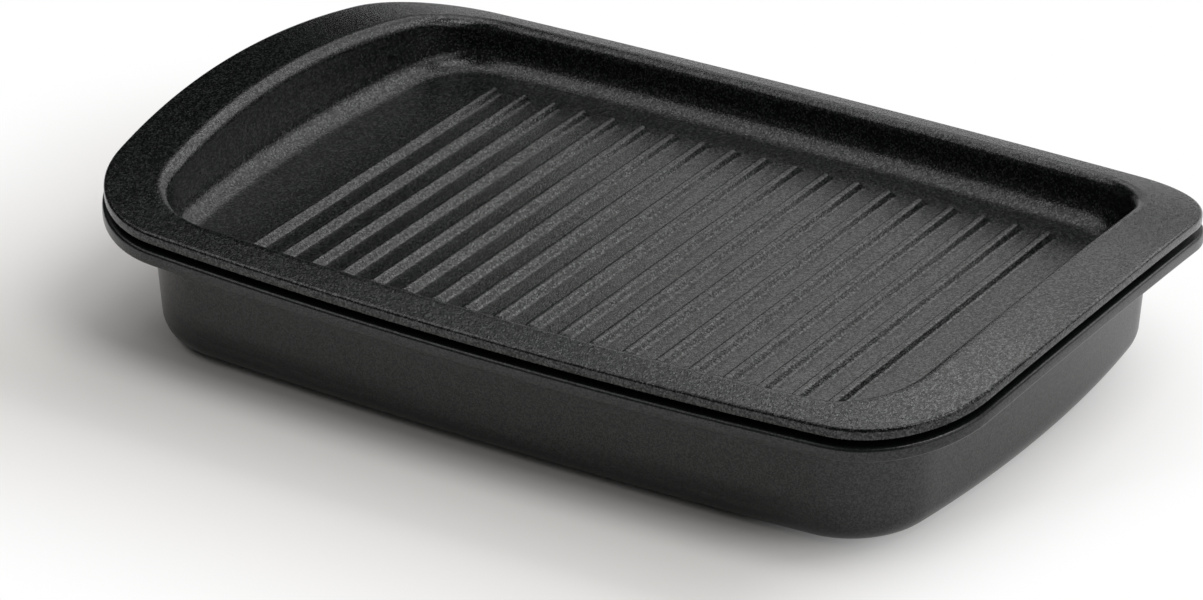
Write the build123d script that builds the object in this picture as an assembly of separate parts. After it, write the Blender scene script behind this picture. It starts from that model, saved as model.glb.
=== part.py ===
from build123d import *
import math
import os

# A two-piece cast aluminium cooking set: a ribbed griddle tray that nests on a roasting pan.
# X runs along the long sides, Y across them and Z up, with the origin under the pan's middle.
# All sizes are in millimetres.

# Rim of the griddle, seen from above: long sides and ends are both slightly bowed outwards
rim_length = 420.0
rim_width = 271.0
rim_corner_radius = 51.0
rim_end_radius = 652.0
rim_side_radius = 2470.0

# Both rims arch over the width, so that the middle of each end stands up as a handle
side_rim_height = 59.5
arch_rise = 17.2

# Griddle basin: width of the flat flange around its mouth, then its walls and floor
end_flange = 24.2
side_flange = 11.6
basin_corner_radius = 40.0
basin_end_radius = 640.0
basin_side_radius = 2600.0
basin_floor_height = 43.1
basin_draft = 2.0
mouth_fillet = 5.5
floor_fillet = 10.5
griddle_wall = 3.2
griddle_rim_thickness = 4.8

# Cooking ribs across the basin floor
rib_count = 19
rib_pitch = 15.0
rib_foot_width = 6.0
rib_height = 2.75
rib_length = 188.0
rib_draft = 30.0
rib_top_chamfer = 0.8
rib_end_chamfer = 1.9

# Roasting pan under the griddle
pan_wall = 3.2
pan_floor = 3.6
pan_draft = 4.3
pan_bottom_fillet = 13.3
pan_rim_thickness = 5.6
pan_rim_overhang = 0.9
nest_clearance = 1.8

# Raised lip around the pan's mouth, which carries the griddle and keeps the two rims apart
rim_gap = 2.8
lip_width = 5.0
lip_clearance = 0.3

# Broken edges of both rims
rim_chamfer = 0.8

# The arch: every rim face is a cylinder about one axis along X
half_width = rim_width / 2
arch_radius = (half_width ** 2 + arch_rise ** 2) / (2 * arch_rise)
crest_height = side_rim_height + arch_rise
arch_axis_height = crest_height - arch_radius
griddle_rim_under = arch_radius - griddle_rim_thickness
pan_rim_top = griddle_rim_under - rim_gap
pan_rim_under = pan_rim_top - pan_rim_thickness
lip_top = griddle_rim_under - lip_clearance
clear_height = crest_height + mouth_fillet


def outline(length, width, corner_radius, end_radius, side_radius, grow=0.0):
    # One closed loop of eight tangent arcs, moved outwards by grow
    half_l = length / 2 + grow
    half_w = width / 2 + grow
    corner = corner_radius + grow
    end = end_radius + grow
    side = side_radius + grow
    end_centre = Vector(half_l - end, 0)
    side_centre = Vector(0, half_w - side)

    # The corner's centre is as far from both big centres as a tangent arc needs
    a = end - corner
    b = side - corner
    span = (side_centre - end_centre).length
    along = (a * a - b * b + span * span) / (2 * span)
    across = math.sqrt(a * a - along * along)
    unit = (side_centre - end_centre).normalized()
    centre = end_centre + unit * along + Vector(-unit.Y, unit.X) * across

    on_end = end_centre + (centre - end_centre).normalized() * end
    on_side = side_centre + (centre - side_centre).normalized() * side
    middle = ((on_end - centre) + (on_side - centre)).normalized()
    on_corner = centre + middle * corner

    def at(point, sx, sy):
        return (point.X * sx, point.Y * sy)

    arcs = []
    for sx, sy in ((1, 1), (-1, 1), (-1, -1), (1, -1)):
        arcs.append(ThreePointArc(at(on_end, sx, sy), at(on_corner, sx, sy), at(on_side, sx, sy)))
    for sx in (1, -1):
        arcs.append(ThreePointArc(at(on_end, sx, -1), (sx * half_l, 0), at(on_end, sx, 1)))
    for sy in (1, -1):
        arcs.append(ThreePointArc(at(on_side, -1, sy), (0, sy * half_w), at(on_side, 1, sy)))
    return make_face(Wire.combine([arc.edge() for arc in arcs])[0])


def rim_outline(grow=0.0):
    return outline(rim_length, rim_width, rim_corner_radius, rim_end_radius, rim_side_radius, grow)


def basin_outline(height, draft, grow=0.0):
    # The basin wall's loop at a height, leaning outwards with the draft from the side rim's level
    mouth = mouth_fillet - grow - (height - side_rim_height) * math.tan(math.radians(draft))
    return outline(
        rim_length - 2 * end_flange,
        rim_width - 2 * side_flange,
        basin_corner_radius,
        basin_end_radius,
        basin_side_radius,
        -mouth,
    )


def tapered_block(bottom, top, draft, grow):
    # A block with drafted walls
    lower = Pos(0, 0, bottom) * basin_outline(bottom, draft, grow)
    upper = Pos(0, 0, top) * basin_outline(top, draft, grow)
    return loft([lower, upper], ruled=True)


def bottom_edges(block):
    return block.faces().sort_by(Axis.Z)[0].edges()


def under_arch(radius):
    # All that lies within a radius of the arch's axis
    section = Plane.YZ * Circle(radius)
    return extrude(Pos(-rim_length, 0, arch_axis_height) * section, 2 * rim_length)


def rim_plate(face, upper, lower):
    # A plate of even thickness, bent to the arch
    prism = extrude(face, clear_height)
    return (prism & under_arch(upper)) - under_arch(lower)


def arched_face(shape, radius):
    # The face of a shape that lies on the arch at a radius
    bent = shape.faces().filter_by(GeomType.CYLINDER)
    return [face for face in bent if abs(face.radius - radius) < 0.01].pop()


def round_mouth(shape, edges, radius):
    # Three narrow bands that follow a round of this radius, tangent to it along their middles
    shape = chamfer(edges, radius * (2 - math.sqrt(2)))
    bands = shape.faces().filter_by(GeomType.BSPLINE)
    band_edges = bands.edges()
    borders = [edge for edge in band_edges if sum(edge.is_same(other) for other in band_edges) == 1]
    return chamfer(borders, radius * (math.tan(math.pi / 8) - math.tan(math.pi / 16)))


def make_rib():
    foot = Rectangle(rib_foot_width, rib_length)
    body = extrude(chamfer(foot.vertices(), rib_end_chamfer), rib_height, taper=rib_draft)
    return chamfer(body.faces().sort_by(Axis.Z)[-1].edges(), rib_top_chamfer)


def make_griddle():
    floor_under = basin_floor_height - griddle_wall
    bowl = tapered_block(floor_under, clear_height, basin_draft, griddle_wall)
    cavity = tapered_block(basin_floor_height, clear_height, basin_draft, 0)

    # The bowl's lower edge is cut so that the wall keeps its thickness around the floor's fillet
    bowl = chamfer(bottom_edges(bowl), (griddle_wall + floor_fillet) * (2 - math.sqrt(2)))
    cavity = fillet(bottom_edges(cavity), floor_fillet)

    body = rim_plate(rim_outline(), arch_radius, griddle_rim_under)
    body += bowl & under_arch((arch_radius + griddle_rim_under) / 2)
    body -= cavity
    body = round_mouth(body, arched_face(body, arch_radius).inner_wires()[0].edges(), mouth_fillet)
    rim_edges = arched_face(body, arch_radius).outer_wire().edges()
    rim_edges += arched_face(body, griddle_rim_under).outer_wire().edges()
    body = chamfer(rim_edges, rim_chamfer)

    rib = make_rib()
    first = -(rib_count - 1) / 2 * rib_pitch
    return body + [Pos(first + index * rib_pitch, 0, basin_floor_height) * rib for index in range(rib_count)]


def make_pan():
    inside = griddle_wall + nest_clearance
    shell = tapered_block(0, clear_height, pan_draft, inside + pan_wall)
    shell = fillet(bottom_edges(shell), pan_bottom_fillet)
    cavity = tapered_block(pan_floor, clear_height, pan_draft, inside)
    cavity = fillet(bottom_edges(cavity), pan_bottom_fillet - pan_wall)

    body = rim_plate(rim_outline(pan_rim_overhang), pan_rim_top, pan_rim_under)
    body += shell & under_arch((pan_rim_top + pan_rim_under) / 2)
    body += rim_plate(basin_outline(side_rim_height, pan_draft, inside + lip_width), lip_top, pan_rim_under)
    body -= cavity
    rim_edges = arched_face(body, pan_rim_top).outer_wire().edges()
    rim_edges += arched_face(body, pan_rim_under).outer_wire().edges()
    return chamfer(rim_edges, rim_chamfer)


pieces = {"griddle_plate": make_griddle(), "roasting_pan": make_pan()}
os.makedirs("parts", exist_ok=True)
for name, piece in pieces.items():
    piece.label = name
    export_step(piece, f"parts/{name}.step")
    print(name, len(piece.solids()), round(piece.volume / 1000, 1), "cm3", len(piece.faces()), "faces")
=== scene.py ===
import math

import bmesh
import bpy
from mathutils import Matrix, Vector


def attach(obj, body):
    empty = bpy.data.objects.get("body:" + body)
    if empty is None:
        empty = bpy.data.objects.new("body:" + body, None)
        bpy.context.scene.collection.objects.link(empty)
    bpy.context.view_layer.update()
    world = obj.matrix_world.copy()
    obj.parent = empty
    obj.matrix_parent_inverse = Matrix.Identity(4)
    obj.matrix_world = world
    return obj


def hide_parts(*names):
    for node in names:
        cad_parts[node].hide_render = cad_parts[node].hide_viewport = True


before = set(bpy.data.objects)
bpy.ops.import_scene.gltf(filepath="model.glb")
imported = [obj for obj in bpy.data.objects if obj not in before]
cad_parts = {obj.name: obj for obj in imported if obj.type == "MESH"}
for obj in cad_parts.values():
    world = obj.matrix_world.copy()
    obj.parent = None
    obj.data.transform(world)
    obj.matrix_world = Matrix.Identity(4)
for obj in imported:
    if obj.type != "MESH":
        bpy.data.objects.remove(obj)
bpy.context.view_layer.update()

mm = 0.001

# Rim of the griddle in millimetres; the pan's rim runs parallel to it
rim = {
    "length": 420.0,
    "width": 271.0,
    "cornerRadius": 51.0,
    "endRadius": 652.0,
    "sideRadius": 2470.0,
    "sideHeight": 59.5,      # top of the rim at the middle of a long side
    "archRise": 17.2,        # how much higher the middle of each end stands
    "edgeRound": 1.2,
    "edgeSteps": 5,          # faces around each rounded edge
}

arcPoints = {"end": 30, "corner": 22, "side": 40}     # points on half an end, a corner and half a side

halfWidth = rim["width"] / 2
archRadius = (halfWidth ** 2 + rim["archRise"] ** 2) / (2 * rim["archRise"])
crestHeight = rim["sideHeight"] + rim["archRise"]
archAxis = crestHeight - archRadius


def archHeight(y, depth):
    # Height of the arched surface that lies depth below the griddle rim's top
    return archAxis + math.sqrt((archRadius - depth) ** 2 - y ** 2)


def outlineArcs(length, width, cornerRadius, endRadius, sideRadius):
    # Centres and turning angles of the end, corner and side arcs of one quarter, all tangent
    endCentre = Vector((length / 2 - endRadius, 0))
    sideCentre = Vector((0, width / 2 - sideRadius))
    a = endRadius - cornerRadius
    b = sideRadius - cornerRadius
    span = sideCentre - endCentre
    along = (a * a - b * b + span.length_squared) / (2 * span.length)
    across = math.sqrt(a * a - along * along)
    unit = span.normalized()
    corner = endCentre + unit * along + Vector((-unit.y, unit.x)) * across
    toCorner = corner - endCentre
    firstTurn = math.atan2(toCorner.y, toCorner.x)
    toCorner = corner - sideCentre
    secondTurn = math.atan2(toCorner.y, toCorner.x)
    return [
        (endCentre, endRadius, 0.0, firstTurn, arcPoints["end"]),
        (corner, cornerRadius, firstTurn, secondTurn, arcPoints["corner"]),
        (sideCentre, sideRadius, secondTurn, math.pi / 2, arcPoints["side"]),
    ]


def outlinePoints(arcs, grow):
    # The whole loop, counter-clockwise from the middle of the right end
    quarter = []
    for centre, radius, start, stop, count in arcs:
        for step in range(count):
            angle = start + (stop - start) * step / count
            quarter.append(centre + Vector((math.cos(angle), math.sin(angle))) * (radius + grow))
    last = arcs[-1]
    top = last[0] + Vector((0, last[1] + grow))
    half = quarter + [top] + [Vector((-p.x, p.y)) for p in reversed(quarter[1:])]
    end = Vector((-quarter[0].x, 0))
    return half + [end] + [Vector((p.x, -p.y)) for p in reversed(half[1:])]


rimArcs = outlineArcs(
    rim["length"],
    rim["width"],
    rim["cornerRadius"],
    rim["endRadius"],
    rim["sideRadius"],
)

# Griddle casting: sizes of the basin are at its mouth, where the flange begins. Shares say where the
# rings between two borders lie, close to a border where a round begins.
griddle = {
    "endFlange": 24.2,
    "sideFlange": 11.6,
    "cornerRadius": 40.0,
    "endRadius": 640.0,
    "sideRadius": 2600.0,
    "floorHeight": 43.1,
    "draft": 2.0,
    "mouthRound": 5.5,
    "floorRound": 10.5,
    "wall": 3.2,
    "rimThickness": 4.8,
    "underRound": 2.0,
    "flatMargin": 1.5,       # of flat underside beside the bowl's round
    "floorMargin": 1.0,      # of flat floor beside the floor's round
    "bowlSteps": 8,
    "underSteps": 4,
    "mouthSteps": 8,
    "floorSteps": 9,
    "bowlShares": (0.75, 0.5, 0.25, 0.0),
    "flangeUnderShares": (0.06, 0.35, 0.65, 0.94),
    "flangeTopShares": (0.05, 0.35, 0.65, 0.95),
    "basinShares": (0.08, 0.36, 0.64, 0.92, 1.0),
}

wallArcs = outlineArcs(
    rim["length"] - 2 * griddle["endFlange"] - 2 * griddle["mouthRound"],
    rim["width"] - 2 * griddle["sideFlange"] - 2 * griddle["mouthRound"],
    griddle["cornerRadius"] - griddle["mouthRound"],
    griddle["endRadius"] - griddle["mouthRound"],
    griddle["sideRadius"] - griddle["mouthRound"],
)


def leaning(grow, draft, height):
    # Outward offset of a drafted wall at a height; grow is its offset at the side rim's level
    return grow + (height - rim["sideHeight"]) * math.tan(math.radians(draft))


def flatRing(grow, height):
    return [(p.x, p.y, height) for p in outlinePoints(wallArcs, grow)]


def archRing(arcs, grow, depth):
    return [(p.x, p.y, archHeight(p.y, depth)) for p in outlinePoints(arcs, grow)]


def blendRing(first, second, share):
    # A ring between two rings on the same arched surface
    ring = []
    for p, q in zip(first, second):
        ring.append(tuple(a + (b - a) * share for a, b in zip(p, q)))
    return ring


def onArch(ring, depth):
    return [(x, y, archHeight(y, depth)) for x, y, z in ring]


def wallRing(grow, draft, depth, level, share):
    # A ring on a drafted wall: share 0 lies on the arched surface at depth, share 1 at a level height
    start = []
    for p in outlinePoints(wallArcs, grow):
        top = archHeight(p.y, depth)
        z = top + (level - top) * share
        out = leaning(0, draft, z)
        towards = Vector((p.x, p.y)).normalized()
        start.append((p.x + towards.x * out, p.y + towards.y * out, z))
    return start


def quarterSteps(count):
    return [math.pi / 2 * step / count for step in range(count + 1)]


def newRing(bm, ring):
    # A closed loop of edges, made as a circle and laid on the ring's points
    made = bmesh.ops.create_circle(bm, segments=len(ring), radius=1)
    for vert, place in zip(made["verts"], ring):
        vert.co = Vector(place) * mm
    return made["verts"]


def nextRing(bm, verts, ring):
    # Extrude the last loop and lay the new one on the ring's points
    edges = [vert.link_edges for vert in verts]
    loop = []
    for index, vert in enumerate(verts):
        after = verts[(index + 1) % len(verts)]
        loop.append(next(edge for edge in edges[index] if edge.other_vert(vert) is after))
    made = bmesh.ops.extrude_edge_only(bm, edges=loop)
    fresh = {item for item in made["geom"] if isinstance(item, bmesh.types.BMVert)}
    following = []
    for vert, place in zip(verts, ring):
        other = next(edge.other_vert(vert) for edge in vert.link_edges if edge.other_vert(vert) in fresh)
        other.co = Vector(place) * mm
        following.append(other)
    return following


def loopEdges(verts):
    chosen = []
    for index, vert in enumerate(verts):
        after = verts[(index + 1) % len(verts)]
        chosen.append(next(edge for edge in vert.link_edges if edge.other_vert(vert) is after))
    return chosen


def stack(bm, rings):
    verts = newRing(bm, rings[0])
    first = verts
    for ring in rings[1:]:
        verts = nextRing(bm, verts, ring)
    return first, verts


def rimRings(grow, thickness, depth):
    # Underside edge, outer edge and top edge of a rim, from below to above, with rounded edges
    size = rim["edgeRound"]
    bottom = depth + thickness
    rings = []
    for angle in quarterSteps(rim["edgeSteps"]):
        out = grow - size + size * math.sin(angle)
        rings.append(archRing(rimArcs, out, bottom - size + size * math.cos(angle)))
    for angle in quarterSteps(rim["edgeSteps"]):
        out = grow - size + size * math.cos(angle)
        rings.append(archRing(rimArcs, out, depth + size - size * math.sin(angle)))
    return rings


# Cooking ribs: a narrow flat crown, a round into the sloping side and a round into the floor
ribs = {
    "count": 19,
    "pitch": 15.0,
    "height": 2.75,
    "crownWidth": 0.8,
    "crownLength": 182.8,
    "crownRound": 1.65,
    "footRound": 1.65,
    "draft": 34.0,           # lean of the sides from upright
    "cornerRound": 0.3,      # seen from above, at the crown
    "footMargin": 0.4,       # of flat floor around the foot
    "roundSteps": 6,
    "cornerPoints": 5,
}


def ribLoop(x, out, height):
    # A rounded rectangle, out from the crown's edge
    radius = ribs["cornerRound"] + out
    across = ribs["crownWidth"] / 2 - ribs["cornerRound"]
    along = ribs["crownLength"] / 2 - ribs["cornerRound"]
    count = ribs["cornerPoints"]
    ring = []
    for quarter, (sx, sy) in enumerate(((1, 1), (-1, 1), (-1, -1), (1, -1))):
        for step in range(count):
            angle = math.pi / 2 * (quarter + step / (count - 1))
            px = x + sx * across + radius * math.cos(angle)
            py = sy * along + radius * math.sin(angle)
            ring.append((px, py, height))
    return ring


def makeRib(bm, x):
    # From a flat margin in the floor up to the crown
    steps = ribs["roundSteps"]
    turn = math.radians(90 - ribs["draft"])
    crown = ribs["crownRound"]
    foot = ribs["footRound"]
    straight = (ribs["height"] - (crown + foot) * (1 - math.cos(turn))) / math.sin(turn)
    width = (crown + foot) * math.sin(turn) + straight * math.cos(turn)
    floor = griddle["floorHeight"]
    top = floor + ribs["height"]
    rings = [ribLoop(x, width + ribs["footMargin"], floor)]
    for step in range(steps + 1):
        angle = turn * step / steps
        rings.append(ribLoop(x, width - foot * math.sin(angle), floor + foot * (1 - math.cos(angle))))
    for step in range(steps + 1):
        angle = turn * (1 - step / steps)
        rings.append(ribLoop(x, crown * math.sin(angle), top - crown * (1 - math.cos(angle))))
    first, last = stack(bm, rings)
    bmesh.ops.contextual_create(bm, geom=loopEdges(last))
    return loopEdges(first)


def makeGriddle():
    bm = bmesh.new()
    rings = []
    wall = griddle["wall"]
    draft = griddle["draft"]
    under = griddle["floorHeight"] - wall
    outerRound = griddle["floorRound"] + wall

    # Underside of the bowl, up its outer wall
    grow = leaning(wall, draft, under + outerRound) - outerRound
    rings.append(flatRing(grow - griddle["flatMargin"], under))
    for angle in quarterSteps(griddle["bowlSteps"]):
        height = under + outerRound * (1 - math.cos(angle))
        rings.append(flatRing(grow + outerRound * math.sin(angle), height))
    size = griddle["underRound"]
    depth = griddle["rimThickness"]
    for share in griddle["bowlShares"]:
        rings.append(wallRing(wall, draft, depth + size, under + outerRound, share))
    for angle in quarterSteps(griddle["underSteps"])[1:]:
        out = wall + size * (1 - math.cos(angle))
        rings.append(archRing(wallArcs, out, depth + size * (1 - math.sin(angle))))

    # Flange: underside outwards, round its edge, and back over the top
    inner = rings[-1]
    edge = rimRings(0, depth, 0)
    for share in griddle["flangeUnderShares"]:
        rings.append(onArch(blendRing(inner, edge[0], share), depth))
    rings += edge
    size = griddle["mouthRound"]
    mouth = []
    for angle in quarterSteps(griddle["mouthSteps"]):
        mouth.append(archRing(wallArcs, size - size * math.sin(angle), size - size * math.cos(angle)))
    for share in griddle["flangeTopShares"]:
        rings.append(onArch(blendRing(edge[-1], mouth[0], share), 0))
    rings += mouth

    # Inner wall and the round at its foot
    size = griddle["floorRound"]
    level = griddle["floorHeight"] + size
    for share in griddle["basinShares"]:
        rings.append(wallRing(0, draft, griddle["mouthRound"], level, share))
    grow = leaning(0, draft, level) - size
    for angle in quarterSteps(griddle["floorSteps"])[1:]:
        rings.append(flatRing(grow + size * math.cos(angle), level - size * math.sin(angle)))
    rings.append(flatRing(grow - griddle["floorMargin"], griddle["floorHeight"]))
    first, last = stack(bm, rings)
    bmesh.ops.contextual_create(bm, geom=loopEdges(first))

    # Ribs: each rises from a flat loop in the floor, which is then filled around all of them
    openEdges = loopEdges(last)
    for index in range(ribs["count"]):
        x = (index - (ribs["count"] - 1) / 2) * ribs["pitch"]
        openEdges += makeRib(bm, x)
    bmesh.ops.triangle_fill(bm, edges=openEdges, use_beauty=True, use_dissolve=False)
    return finishMesh(bm, "griddlePlate")


# Roasting pan under the griddle
pan = {
    "wall": 3.2,
    "floor": 3.6,
    "draft": 4.3,
    "bottomRound": 13.3,
    "rimThickness": 5.6,
    "rimOverhang": 0.9,
    "rimGap": 2.8,
    "nestClearance": 1.8,
    "lipWidth": 5.0,
    "lipClearance": 0.3,
    "lipRound": 0.8,
    "underRound": 3.0,
    "flatMargin": 2.0,       # of flat bottom and floor beside their rounds
    "bottomSteps": 10,
    "underSteps": 5,
    "lipSteps": 3,
    "floorSteps": 8,
    "wallShares": (0.97, 0.75, 0.5, 0.25, 0.03, 0.0),
    "rimShares": (0.08, 0.5, 0.92),
    "insideShares": (0.03, 0.25, 0.5, 0.75, 0.97, 1.0),
}


def makePan():
    bm = bmesh.new()
    rings = []
    draft = pan["draft"]
    inside = griddle["wall"] + pan["nestClearance"]
    outside = inside + pan["wall"]
    size = pan["bottomRound"]

    # Flat bottom, rounded lower edge and outer wall
    grow = leaning(outside, draft, size) - size
    rings.append(flatRing(grow - pan["flatMargin"], 0))
    for angle in quarterSteps(pan["bottomSteps"]):
        rings.append(flatRing(grow + size * math.sin(angle), size * (1 - math.cos(angle))))
    depth = griddle["rimThickness"] + pan["rimGap"]
    bottom = depth + pan["rimThickness"]
    cove = pan["underRound"]
    for share in pan["wallShares"]:
        rings.append(wallRing(outside, draft, bottom + cove, size, share))
    for angle in quarterSteps(pan["underSteps"])[1:]:
        out = outside + cove * (1 - math.cos(angle))
        rings.append(archRing(wallArcs, out, bottom + cove * (1 - math.sin(angle))))

    # Rim: underside outwards, round its edge, back over the top to the lip
    inner = rings[-1]
    edge = rimRings(pan["rimOverhang"], pan["rimThickness"], depth)
    for share in pan["rimShares"]:
        rings.append(onArch(blendRing(inner, edge[0], share), bottom))
    rings += edge
    lipOut = inside + pan["lipWidth"]
    lipDepth = griddle["rimThickness"] + pan["lipClearance"]
    small = pan["lipRound"]
    foot = archRing(wallArcs, lipOut + small, depth)
    for share in pan["rimShares"]:
        rings.append(onArch(blendRing(edge[-1], foot, share), depth))

    # Lip: a round at its foot, then its outer and its inner edge
    turns = quarterSteps(pan["lipSteps"])
    for angle in turns:
        out = lipOut + small - small * math.sin(angle)
        rings.append(archRing(wallArcs, out, depth - small + small * math.cos(angle)))
    for angle in turns:
        out = lipOut - small + small * math.cos(angle)
        rings.append(archRing(wallArcs, out, lipDepth + small - small * math.sin(angle)))
    for angle in turns:
        out = inside + small - small * math.sin(angle)
        rings.append(archRing(wallArcs, out, lipDepth + small - small * math.cos(angle)))

    # Inner wall down to the cooking floor
    size = pan["bottomRound"] - pan["wall"]
    level = pan["floor"] + size
    for share in pan["insideShares"]:
        rings.append(wallRing(inside, draft, lipDepth + small, level, share))
    grow = leaning(inside, draft, level) - size
    for angle in quarterSteps(pan["floorSteps"])[1:]:
        rings.append(flatRing(grow + size * math.cos(angle), level - size * math.sin(angle)))
    rings.append(flatRing(grow - pan["flatMargin"], pan["floor"]))
    first, last = stack(bm, rings)
    bmesh.ops.contextual_create(bm, geom=loopEdges(first))
    bmesh.ops.contextual_create(bm, geom=loopEdges(last))
    return finishMesh(bm, "roastingPan")


def finishMesh(bm, name):
    bmesh.ops.recalc_face_normals(bm, faces=bm.faces)
    for face in bm.faces:
        face.smooth = True
    mesh = bpy.data.meshes.new(name)
    bm.to_mesh(mesh)
    openEdges = sum(1 for edge in bm.edges if len(edge.link_faces) != 2)
    volume = bm.calc_volume() / (10 * mm) ** 3
    print(name, len(mesh.polygons), "faces", openEdges, "open edges", round(volume, 1), "cm3")
    bm.free()
    obj = bpy.data.objects.new(name, mesh)
    bpy.context.scene.collection.objects.link(obj)
    return obj


def linear(code):
    # sRGB hex to linear colour
    values = [int(code[i:i + 2], 16) / 255 for i in (1, 3, 5)]
    return [v / 12.92 if v <= 0.04045 else ((v + 0.055) / 1.055) ** 2.4 for v in values] + [1.0]


def addNode(tree, kind, settings=None, links=None):
    # Add a node; settings go to its own values or sockets, links maps sockets to outputs
    node = tree.nodes.new(kind)
    for key, value in (settings or {}).items():
        if isinstance(key, str) and hasattr(node, key):
            setattr(node, key, value)
        else:
            node.inputs[key].default_value = value
    for key, source in (links or {}).items():
        tree.links.new(source, node.inputs[key])
    return node


def newMaterial(name):
    material = bpy.data.materials.new(name)
    material.use_nodes = True
    tree = material.node_tree
    tree.nodes.clear()
    output = addNode(tree, "ShaderNodeOutputMaterial")
    return material, tree, output


# Stone-effect non-stick coating over blasted cast aluminium: near-black and dry, with a broad soft
# sheen in which each grain shines by its own amount
grainCoat = {
    "pit": "#060707",
    "base": "#0c0e0d",
    "fleck": "#2f3230",
    "roughness": 0.175,
    "shine": (0.28, 0.72),   # specular level of the dullest and the brightest grains
    "grain": 0.65,           # mm, drawn a little coarser than the real grains, so that they show
    "bump": 0.14,            # mm
}

# The pan's outside has the same coating sprayed thinner over a smoother skin: even satin charcoal
satinCoat = {
    "pit": "#111313",
    "base": "#141616",
    "fleck": "#1b1d1d",
    "roughness": 0.30,
    "shine": (0.38, 0.62),
    "grain": 0.60,
    "bump": 0.06,
}

# Both coatings are the same kind of film: what its clear part does to light, and how many of the
# grains are pits, base and flecks
film = {
    "ior": 1.5,
    "pitsBelow": 0.22,
    "baseAt": 0.55,
    "flecksAbove": 0.85,
    "shineRange": (0.2, 0.8),
    "reliefDetail": 1.5,
    "reliefRoughness": 0.6,
}


def coatMaterial(name, coat):
    material, tree, output = newMaterial(name)
    place = addNode(tree, "ShaderNodeTexCoord").outputs["Object"]
    grainScale = 1 / (coat["grain"] * mm)

    # Every grain is a cell with a random value, which sets its colour and its shine
    cells = addNode(tree, "ShaderNodeTexVoronoi", {"Scale": grainScale}, {"Vector": place})
    chance = addNode(tree, "ShaderNodeRGBToBW", None, {"Color": cells.outputs["Color"]}).outputs["Val"]
    speckle = addNode(tree, "ShaderNodeValToRGB", None, {"Fac": chance})
    ramp = speckle.color_ramp.elements
    ramp[0].position = film["pitsBelow"]
    ramp[0].color = linear(coat["pit"])
    ramp[1].position = film["flecksAbove"]
    ramp[1].color = linear(coat["fleck"])
    ramp.new(film["baseAt"]).color = linear(coat["base"])
    shineSettings = {
        "From Min": film["shineRange"][0],
        "From Max": film["shineRange"][1],
        "To Min": coat["shine"][0],
        "To Max": coat["shine"][1],
    }
    shine = addNode(tree, "ShaderNodeMapRange", shineSettings, {"Value": chance})

    # Fine relief of the same size as the grains
    reliefSettings = {
        "Scale": grainScale,
        "Detail": film["reliefDetail"],
        "Roughness": film["reliefRoughness"],
    }
    relief = addNode(tree, "ShaderNodeTexNoise", reliefSettings, {"Vector": place})
    bumpSettings = {"Strength": 1.0, "Distance": coat["bump"] * mm}
    bump = addNode(tree, "ShaderNodeBump", bumpSettings, {"Height": relief.outputs["Fac"]})
    shader = addNode(
        tree,
        "ShaderNodeBsdfPrincipled",
        {"Roughness": coat["roughness"], "IOR": film["ior"], "Metallic": 0.0},
        {
            "Base Color": speckle.outputs["Color"],
            "Specular IOR Level": shine.outputs["Result"],
            "Normal": bump.outputs["Normal"],
        },
    )
    tree.links.new(shader.outputs["BSDF"], output.inputs["Surface"])
    return material


print("castings")
griddlePiece = makeGriddle()
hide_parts("griddle_plate")
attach(griddlePiece, "griddle")
panPiece = makePan()
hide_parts("roasting_pan")
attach(panPiece, "pan")

print("materials")
griddlePiece.data.materials.append(coatMaterial("stoneEffectNonStick", grainCoat))
panPiece.data.materials.append(coatMaterial("satinNonStick", satinCoat))


# White paper under the object. It takes the object's shade near by, and is plain white some way out,
# soonest at the right.
paper = {
    "colour": "#f4f1ee",
    "reach": 6.0,                            # m, half its width
    "shadeCentre": (-48.0, -60.0, 0.0),      # mm, middle of the box around which the shade lies
    "shadeHalf": (153.0, 80.0, 10.0),
    "shadeReach": 175.0,                     # mm from that box to plain white
    "lightSide": (0.978, -0.208, 0.0),       # direction in which the shade ends soonest
    "lightStart": 143.0,                     # mm along that direction, where the white begins
    "lightFull": 255.0,
}


def makeFloor():
    bm = bmesh.new()
    bmesh.ops.create_grid(bm, x_segments=2, y_segments=2, size=paper["reach"])
    mesh = bpy.data.meshes.new("floor")
    bm.to_mesh(mesh)
    bm.free()
    obj = bpy.data.objects.new("floor", mesh)
    bpy.context.scene.collection.objects.link(obj)
    obj.data.materials.append(paperMaterial())


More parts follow.
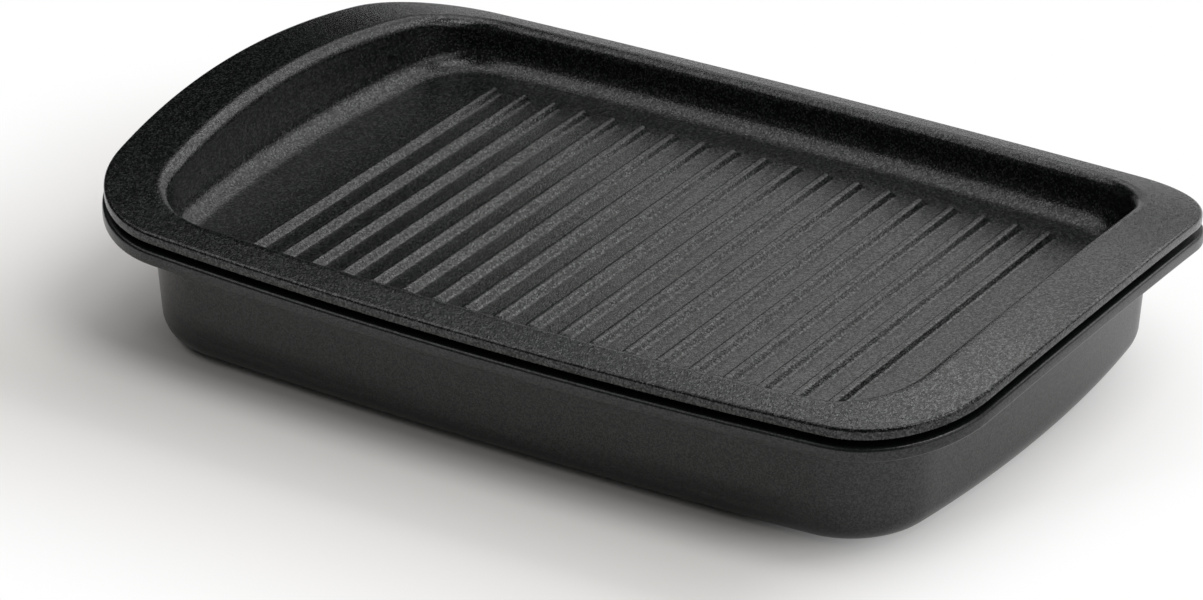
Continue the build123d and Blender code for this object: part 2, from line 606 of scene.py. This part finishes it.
def paperMaterial():
    material, tree, output = newMaterial("paperSweep")
    matt = addNode(tree, "ShaderNodeBsdfDiffuse", {"Color": linear(paper["colour"])})
    white = addNode(tree, "ShaderNodeEmission", {"Color": (1, 1, 1, 1), "Strength": 1.0})
    place = addNode(tree, "ShaderNodeTexCoord").outputs["Object"]

    # Distance from the box, by axis: |place - centre| - half, never under zero
    steps = (
        ("SUBTRACT", paper["shadeCentre"]),
        ("ABSOLUTE", None),
        ("SUBTRACT", paper["shadeHalf"]),
        ("MAXIMUM", (0, 0, 0)),
    )
    offset = place
    for operation, amount in steps:
        step = addNode(tree, "ShaderNodeVectorMath", {"operation": operation}, {0: offset})
        if amount:
            step.inputs[1].default_value = Vector(amount) * mm
        offset = step.outputs["Vector"]
    distance = addNode(tree, "ShaderNodeVectorMath", {"operation": "LENGTH"}, {0: offset})
    alongSettings = {"operation": "DOT_PRODUCT", 1: paper["lightSide"]}
    along = addNode(tree, "ShaderNodeVectorMath", alongSettings, {0: place})

    # Two smooth shares of white, by the distance from the box and by the distance to the right
    awaySettings = {
        "interpolation_type": "SMOOTHSTEP",
        "From Min": 0.0,
        "From Max": paper["shadeReach"] * mm,
    }
    away = addNode(tree, "ShaderNodeMapRange", awaySettings, {"Value": distance.outputs["Value"]})
    beyondSettings = {
        "interpolation_type": "SMOOTHSTEP",
        "From Min": paper["lightStart"] * mm,
        "From Max": paper["lightFull"] * mm,
    }
    beyond = addNode(tree, "ShaderNodeMapRange", beyondSettings, {"Value": along.outputs["Value"]})
    larger = {"operation": "MAXIMUM"}
    whiteLinks = {0: away.outputs["Result"], 1: beyond.outputs["Result"]}
    whiteShare = addNode(tree, "ShaderNodeMath", larger, whiteLinks).outputs[0]

    # The white shows to the camera, and in metal and glass, and gives the object no other light
    path = addNode(tree, "ShaderNodeLightPath")
    seenLinks = {0: path.outputs["Is Camera Ray"], 1: path.outputs["Is Glossy Ray"]}
    seen = addNode(tree, "ShaderNodeMath", larger, seenLinks).outputs[0]
    seenLinks = {0: seen, 1: path.outputs["Is Transmission Ray"]}
    seen = addNode(tree, "ShaderNodeMath", larger, seenLinks).outputs[0]
    share = addNode(tree, "ShaderNodeMath", {"operation": "MULTIPLY"}, {0: seen, 1: whiteShare}).outputs[0]
    mix = addNode(tree, "ShaderNodeMixShader", None, {0: share, 1: matt.outputs[0], 2: white.outputs[0]})
    tree.links.new(mix.outputs[0], output.inputs["Surface"])
    return material


# Studio lights: middle and facing in metres, width and height, strength of the glowing face
lights = {
    "softboxLeft": ((-0.19, 0.62, 0.475), (0, -1, 0), (0.50, 0.55), 0.93),
    "softboxRight": ((0.46, 0.62, 0.475), (0, -1, 0), (0.80, 0.55), 1.80),
    "backStrip": ((0.28, 0.62, 0.875), (0, -1, 0), (1.24, 0.25), 3.6),
    "backTop": ((-0.35, 0.62, 1.10), (0, -1, 0), (0.50, 0.40), 2.2),
    "ceiling": ((-0.35, 0.22, 1.30), (0, 0, -1), (0.90, 0.80), 1.5),
    "frontCeiling": ((-0.90, -0.50, 1.30), (0, 0, -1), (0.80, 1.40), 1.6),
    "rightCeiling": ((0.62, -0.15, 1.30), (0, 0, -1), (0.70, 0.70), 4.3),
    "rightSoftbox": ((1.40, -0.30, 0.80), (-1, 0, 0), (1.80, 0.60), 1.8),
    "frontFill": ((0.00, -1.50, 0.60), (0, 1, 0), (3.00, 1.20), 0.08),
}
ambientStrength = 0.01


def makeLights():
    for name, (place, facing, size, strength) in lights.items():
        data = bpy.data.lights.new(name, "AREA")
        data.shape = "RECTANGLE"
        data.size, data.size_y = size
        data.energy = strength * math.pi * size[0] * size[1]
        obj = bpy.data.objects.new(name, data)
        obj.location = place
        obj.rotation_euler = Vector(facing).to_track_quat("-Z", "Y").to_euler()
        obj.visible_camera = False
        bpy.context.scene.collection.objects.link(obj)
    world = bpy.data.worlds.new("studio")
    bpy.context.scene.world = world
    world.use_nodes = True
    tree = world.node_tree
    tree.nodes.clear()
    output = addNode(tree, "ShaderNodeOutputWorld")
    ambient = addNode(tree, "ShaderNodeBackground", {"Color": (1, 1, 1, 1), "Strength": ambientStrength})
    tree.links.new(ambient.outputs[0], output.inputs["Surface"])


# Camera fitted to the photograph: rims, floor line and rib spacing
camera = {
    "lens": 177.55,          # mm
    "sensor": 36.0,          # mm
    "azimuth": 31.971,       # degrees, seen from the front right
    "elevation": 26.504,
    "target": (27.805, -81.985, 59.5),   # mm
    "distance": 2343.3,      # mm
    "clip": (0.05, 50.0),    # m
}


def makeCamera():
    data = bpy.data.cameras.new("photoCamera")
    data.sensor_width = camera["sensor"]
    data.lens = camera["lens"]
    data.clip_start, data.clip_end = camera["clip"]
    obj = bpy.data.objects.new("photoCamera", data)
    azimuth = math.radians(camera["azimuth"])
    elevation = math.radians(camera["elevation"])
    level = math.cos(elevation)
    back = Vector((math.sin(azimuth) * level, -math.cos(azimuth) * level, math.sin(elevation)))
    obj.location = (Vector(camera["target"]) + back * camera["distance"]) * mm
    obj.rotation_euler = (math.pi / 2 - elevation, 0, azimuth)
    bpy.context.scene.collection.objects.link(obj)
    bpy.context.scene.camera = obj


print("studio")
makeFloor()
makeLights()
makeCamera()
bpy.context.scene.view_settings.view_transform = "Standard"
